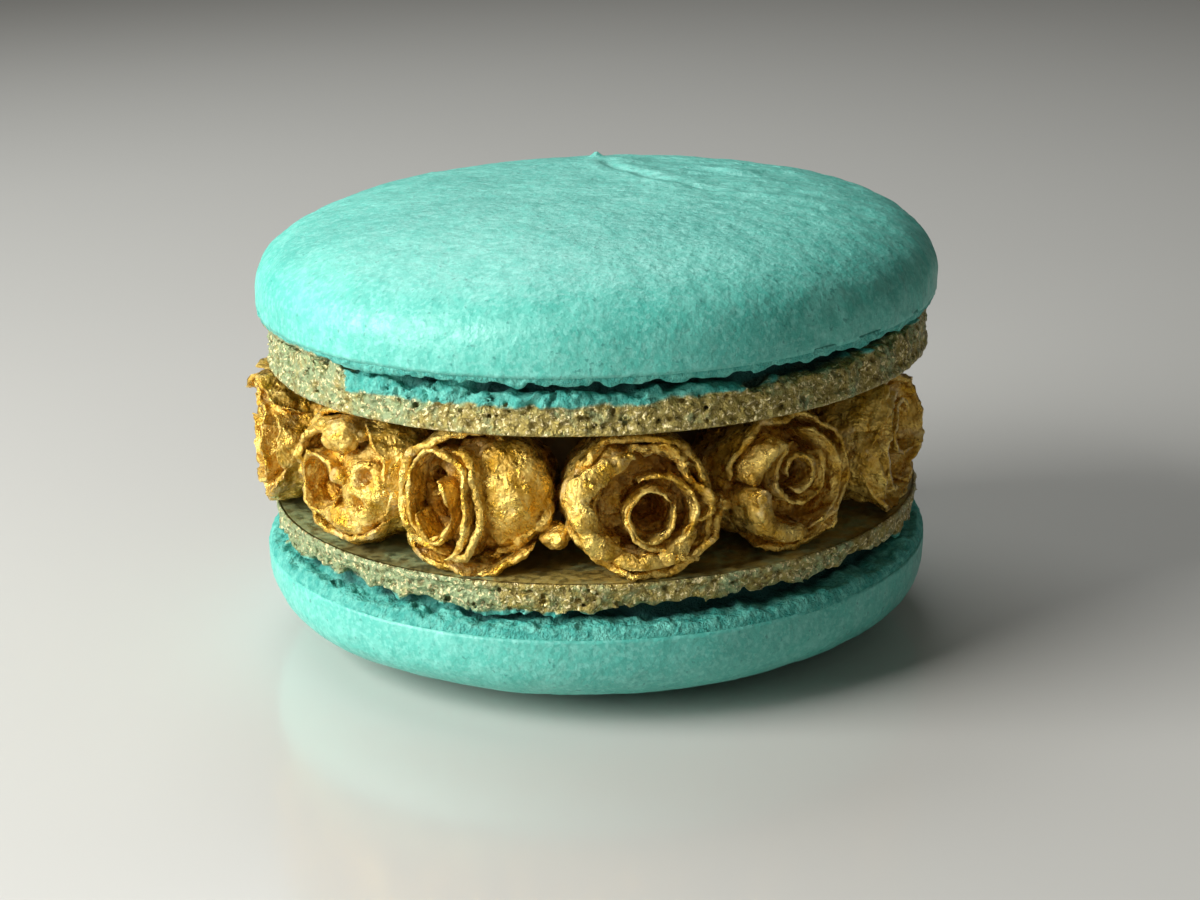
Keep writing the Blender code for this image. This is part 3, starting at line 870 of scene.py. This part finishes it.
class Nodes:
    """Short calls for building one procedural material."""

    def __init__(self, name):
        self.material = bpy.data.materials.new(name)
        self.material.use_nodes = True
        self.tree = self.material.node_tree
        self.tree.nodes.clear()
        self.output = self.tree.nodes.new("ShaderNodeOutputMaterial")
        self.place = self.tree.nodes.new("ShaderNodeTexCoord").outputs["Object"]

    def link(self, source, target):
        self.tree.links.new(source, target)

    def noise(self, size_mm, detail=2.0, roughness=0.5, distortion=0.0):
        node = self.tree.nodes.new("ShaderNodeTexNoise")
        node.inputs["Scale"].default_value = 1000 / size_mm
        node.inputs["Detail"].default_value = detail
        node.inputs["Roughness"].default_value = roughness
        node.inputs["Distortion"].default_value = distortion
        self.link(self.place, node.inputs["Vector"])
        return node.outputs["Fac"]

    def cells(self, size_mm, feature="F1"):
        node = self.tree.nodes.new("ShaderNodeTexVoronoi")
        node.feature = feature
        node.inputs["Scale"].default_value = 1000 / size_mm
        self.link(self.place, node.inputs["Vector"])
        return node.outputs["Distance"]

    def mask(self, name):
        node = self.tree.nodes.new("ShaderNodeAttribute")
        node.attribute_name = name
        return node.outputs["Fac"]

    def span(self, value, low, high, to_low=0.0, to_high=1.0):
        node = self.tree.nodes.new("ShaderNodeMapRange")
        node.interpolation_type = "SMOOTHSTEP"
        node.inputs["From Min"].default_value = low
        node.inputs["From Max"].default_value = high
        node.inputs["To Min"].default_value = to_low
        node.inputs["To Max"].default_value = to_high
        self.link(value, node.inputs["Value"])
        return node.outputs["Result"]

    def join(self, how, first, second):
        node = self.tree.nodes.new("ShaderNodeMath")
        node.operation = how
        for socket, value in zip(node.inputs, (first, second)):
            if isinstance(value, (int, float)):
                socket.default_value = value
            else:
                self.link(value, socket)
        return node.outputs["Value"]

    def blend(self, amount, first, second):
        """Colour first where amount is 0 and second where it is 1."""
        node = self.tree.nodes.new("ShaderNodeMix")
        node.data_type = "RGBA"
        self.link(amount, node.inputs["Factor"])
        for socket, value in ((node.inputs["A"], first), (node.inputs["B"], second)):
            socket = [s for s in node.inputs if s.name == socket.name and s.type == "RGBA"][0]
            if isinstance(value, tuple):
                socket.default_value = (*value, 1.0)
            else:
                self.link(value, socket)
        return [s for s in node.outputs if s.type == "RGBA"][0]

    def bump(self, height, distance_mm, strength=1.0, below=None):
        node = self.tree.nodes.new("ShaderNodeBump")
        node.inputs["Distance"].default_value = distance_mm * MM
        node.inputs["Strength"].default_value = strength
        self.link(height, node.inputs["Height"])
        if below:
            self.link(below, node.inputs["Normal"])
        return node.outputs["Normal"]

    def shade(self, **values):
        shader = self.tree.nodes.new("ShaderNodeBsdfPrincipled")
        for key, value in values.items():
            socket = shader.inputs[key.replace("_", " ")]
            if isinstance(value, (int, float)):
                socket.default_value = value
            elif isinstance(value, tuple):
                socket.default_value = (*value, 1.0) if len(value) == 3 else value
            else:
                self.link(value, socket)
        self.link(shader.outputs["BSDF"], self.output.inputs["Surface"])
        return self.material


TURQUOISE = (0.100, 0.53, 0.435)
TURQUOISE_PALE = (0.165, 0.61, 0.51)
TURQUOISE_DEEP = (0.045, 0.38, 0.32)
OLIVE_GOLD = (0.42, 0.33, 0.09)
SAGE = (0.34, 0.43, 0.22)


def skin_material():
    """Satin skin: fine pale mottling, small darker specks of almond."""
    n = Nodes("meringue_skin")
    mottle = n.span(n.noise(1.1, 4, 0.6), 0.35, 0.68)
    colour = n.blend(mottle, TURQUOISE, TURQUOISE_PALE)
    broad = n.span(n.noise(9.0, 3), 0.42, 0.68, 0.0, 0.35)
    colour = n.blend(broad, colour, TURQUOISE_DEEP)
    grain = n.span(n.noise(0.36, 2, 0.6), 0.48, 0.64, 0.0, 0.45)
    colour = n.blend(grain, colour, (0.27, 0.72, 0.63))
    dull = n.span(n.noise(0.5, 2, 0.6), 0.54, 0.70, 0.0, 0.35)
    colour = n.blend(dull, colour, (0.05, 0.36, 0.30))
    specks = n.join("MULTIPLY", n.span(n.noise(0.42, 2), 0.66, 0.74), 0.6)
    colour = n.blend(specks, colour, (0.03, 0.22, 0.19))
    height = n.join("ADD", n.noise(0.42, 3, 0.6), n.join("MULTIPLY", n.noise(1.0, 2), 1.2))
    return n.shade(Base_Color=colour, Roughness=n.span(n.noise(2.0, 3), 0.35, 0.7, 0.38, 0.52),
                   Specular_IOR_Level=0.5, Normal=n.bump(height, 0.075, 1.0))


def foot_material():
    """Foam: turquoise in the torn part, pale green and gold dust on the painted band."""
    n = Nodes("meringue_foot")
    tone = n.span(n.noise(0.7, 4, 0.65), 0.35, 0.7)
    foam = n.blend(tone, TURQUOISE_DEEP, TURQUOISE_PALE)
    gilt = n.join("MULTIPLY", n.mask("gilt"), 0.5)
    dust_tone = n.span(n.join("ADD", n.noise(1.6, 4, 0.65), gilt), 0.62, 0.86)
    dust = n.blend(dust_tone, SAGE, OLIVE_GOLD)
    grainy = n.span(n.mask("face"), 0.0, 1.0, 1.0, 0.15)
    dark = n.join("MULTIPLY", n.span(n.noise(0.38, 3, 0.6), 0.50, 0.66, 0.0, 0.75), grainy)
    dust = n.blend(dark, dust, (0.12, 0.085, 0.012))
    flakes = n.join("MULTIPLY", n.span(n.noise(0.26, 2, 0.6), 0.56, 0.64), grainy)
    dust = n.blend(flakes, dust, (0.95, 0.82, 0.44))
    smears = n.join("MULTIPLY", n.span(n.noise(3.5, 4, 0.6), 0.44, 0.60), n.mask("face"))
    dust = n.blend(n.join("MULTIPLY", smears, 0.7), dust, (0.20, 0.13, 0.025))
    gold = n.mask("gold")
    colour = n.blend(gold, foam, dust)
    # Painted shade: deep in the crevice the colour goes almost black.
    colour = n.blend(n.join("MULTIPLY", n.mask("hollow_shade"), 0.92), colour, (0.004, 0.05, 0.05))
    metal = n.join("MULTIPLY", gold, n.span(n.noise(0.6, 3), 0.42, 0.62, 0.15, 0.75))
    height = n.join("ADD", n.noise(0.20, 3, 0.65), n.join("MULTIPLY", n.noise(0.45, 2), 1.5))
    return n.shade(Base_Color=colour, Metallic=metal,
                   Roughness=n.span(gold, 0.0, 1.0, 0.6, 0.36), Specular_IOR_Level=0.4,
                   Normal=n.bump(n.join("MULTIPLY", height, grainy), 0.20, 1.0))


def gold_material():
    """Edible gold paint: pale and bright on the folds, with painted shade in amber brown in the
    hollows.
    """
    n = Nodes("rose_gold")
    tone = n.span(n.noise(1.5, 4, 0.6), 0.36, 0.66)
    colour = n.blend(tone, (0.60, 0.34, 0.03), (0.94, 0.68, 0.175))
    worn = n.span(n.noise(2.6, 4, 0.7), 0.55, 0.69, 0.0, 0.55)
    colour = n.blend(worn, colour, (0.80, 0.64, 0.34))
    pits = n.span(n.noise(0.5, 3, 0.6), 0.58, 0.72, 0.0, 0.65)
    colour = n.blend(pits, colour, (0.36, 0.16, 0.01))
    # Painted shade: amber brown in the rose's hollows and deep inside it.
    colour = n.blend(n.join("MULTIPLY", n.mask("hollow_shade"), 0.85), colour, (0.36, 0.15, 0.012))
    leaf = n.span(n.noise(0.9, 4, 0.65), 0.40, 0.60, 0.35, 0.97)
    metal = n.join("MULTIPLY", leaf, n.span(worn, 0.0, 0.55, 1.0, 0.4))
    rough = n.span(n.noise(0.7, 3), 0.35, 0.68, 0.15, 0.40)
    height = n.join("ADD", n.noise(0.22, 3, 0.6), n.join("MULTIPLY", n.noise(0.6, 3), 2.2))
    return n.shade(Base_Color=colour, Metallic=metal, Roughness=rough,
                   Normal=n.bump(height, 0.15, 1.0))


def cream_material():
    n = Nodes("cream_core")
    colour = n.blend(n.span(n.noise(2.0, 3), 0.4, 0.65), (0.42, 0.29, 0.13), (0.30, 0.18, 0.05))
    return n.shade(Base_Color=colour, Roughness=0.6,
                   Normal=n.bump(n.noise(0.6, 3), 0.06, 0.8))


def floor_material():
    n = Nodes("pale_floor")
    colour = n.blend(n.noise(60.0, 2), (0.62, 0.62, 0.59), (0.64, 0.64, 0.61))
    return n.shade(Base_Color=colour, Roughness=0.16, Specular_IOR_Level=0.5)


# ---------------------------------------------------------------- light and camera

def area_light(name, place_mm, aim_mm, size_mm, power, colour):
    data = bpy.data.lights.new(name, "AREA")
    data.shape = "RECTANGLE"
    data.size, data.size_y = size_mm[0] * MM, size_mm[1] * MM
    data.energy = power
    data.color = colour
    light = bpy.data.objects.new(name, data)
    bpy.context.scene.collection.objects.link(light)
    place, aim = Vector(place_mm) * MM, Vector(aim_mm) * MM
    light.matrix_world = Matrix.Translation(place) @ (
        (aim - place).to_track_quat("-Z", "Y").to_matrix().to_4x4())
    return light


def set_up_camera():
    data = bpy.data.cameras.new("camera")
    data.lens = 79.65
    data.sensor_width = 36.0
    data.clip_start = 0.005
    data.clip_end = 20.0
    camera = bpy.data.objects.new("camera", data)
    bpy.context.scene.collection.objects.link(camera)
    target = Vector((0.35, 0.0, 11.37)) * MM
    tilt = math.radians(17.59)
    place = target + Vector((0.0, -math.cos(tilt), math.sin(tilt))) * 180 * MM
    aim = (target - place).to_track_quat("-Z", "Y").to_matrix().to_4x4()
    camera.matrix_world = Matrix.Translation(place) @ aim @ Matrix.Rotation(
        math.radians(-1.25), 4, "Z")
    bpy.context.scene.camera = camera


def set_up_light():
    middle = (0, 0, 14)
    area_light("window", (-225, -95, 140), middle, (200, 180), 1.32, (1.0, 0.985, 0.96))
    area_light("sky", (-80, 170, 230), middle, (260, 200), 0.42, (0.97, 0.99, 1.0))
    area_light("fill", (60, -260, 110), middle, (260, 200), 0.05, (1.0, 0.96, 0.90))
    world = bpy.data.worlds.new("room")
    world.use_nodes = True
    background = world.node_tree.nodes["Background"]
    background.inputs["Color"].default_value = (0.62, 0.58, 0.52, 1.0)
    background.inputs["Strength"].default_value = 0.10
    bpy.context.scene.world = world
    bpy.context.scene.view_settings.view_transform = "Standard"


def make_floor():
    half = 2000.0
    corners = [(-half, -half, 0), (half, -half, 0), (half, half, 0), (-half, half, 0)]
    floor = make_mesh("floor", corners, [(0, 1, 2, 3)])
    floor.data.materials.append(floor_material())


# ---------------------------------------------------------------- the macaron

def keep(obj, node, material):
    obj.data.materials.append(material)
    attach(obj, "root")
    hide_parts(node)


def build_macaron():
    skin, foot, gold = skin_material(), foot_material(), gold_material()
    top = make_dome("top_skin", UPPER_RADIUS, UPPER_DOME_HEIGHT, UPPER_DOME_POWERS,
                    UPPER_EQUATOR_Z, 1, 100, piping_marks)
    keep(top, "top_shell", skin)
    top_foot = make_foot("top_foot", UPPER_RADIUS, UPPER_EQUATOR_Z, UPPER_FLAT_Z, 1, 200,
                         upper_lip, upper_gap, upper_cave, upper_band, upper_gilt)
    keep(top_foot, "top_shell", foot)
    lower_height = LOWER_EQUATOR_Z / (1 - (REST_SPOT_RADIUS / LOWER_RADIUS)
                                      ** LOWER_DOME_POWERS[0]) ** (1 / LOWER_DOME_POWERS[1])
    bottom = make_dome("bottom_skin", LOWER_RADIUS, lower_height, LOWER_DOME_POWERS,
                       LOWER_EQUATOR_Z, -1, 300)
    keep(bottom, "bottom_shell", skin)
    bottom_foot = make_foot("bottom_foot", LOWER_RADIUS, LOWER_EQUATOR_Z, LOWER_FLAT_Z, -1, 400,
                            lower_lip, lower_gap, lower_cave, lower_band, lower_gilt)
    keep(bottom_foot, "bottom_shell", foot)
    for k, (name, facts) in enumerate(FRONT_ROSES.items()):
        rose = make_rose(name + "_petals", detail=1.0, seed=500 + 40 * k, **facts)
        keep(rose, name, gold)
    for k, (name, azimuth) in enumerate(BACK_ROSES.items()):
        rose = make_rose(name + "_petals", azimuth, 20.8, 4, 0, spiral_rose(700 + k), 0.6,
                         700 + 40 * k, stretch=(1.08, 1.05))
        keep(rose, name, gold)
    keep(make_core(), "filling", cream_material())


set_up_camera()
set_up_light()
make_floor()
build_macaron()
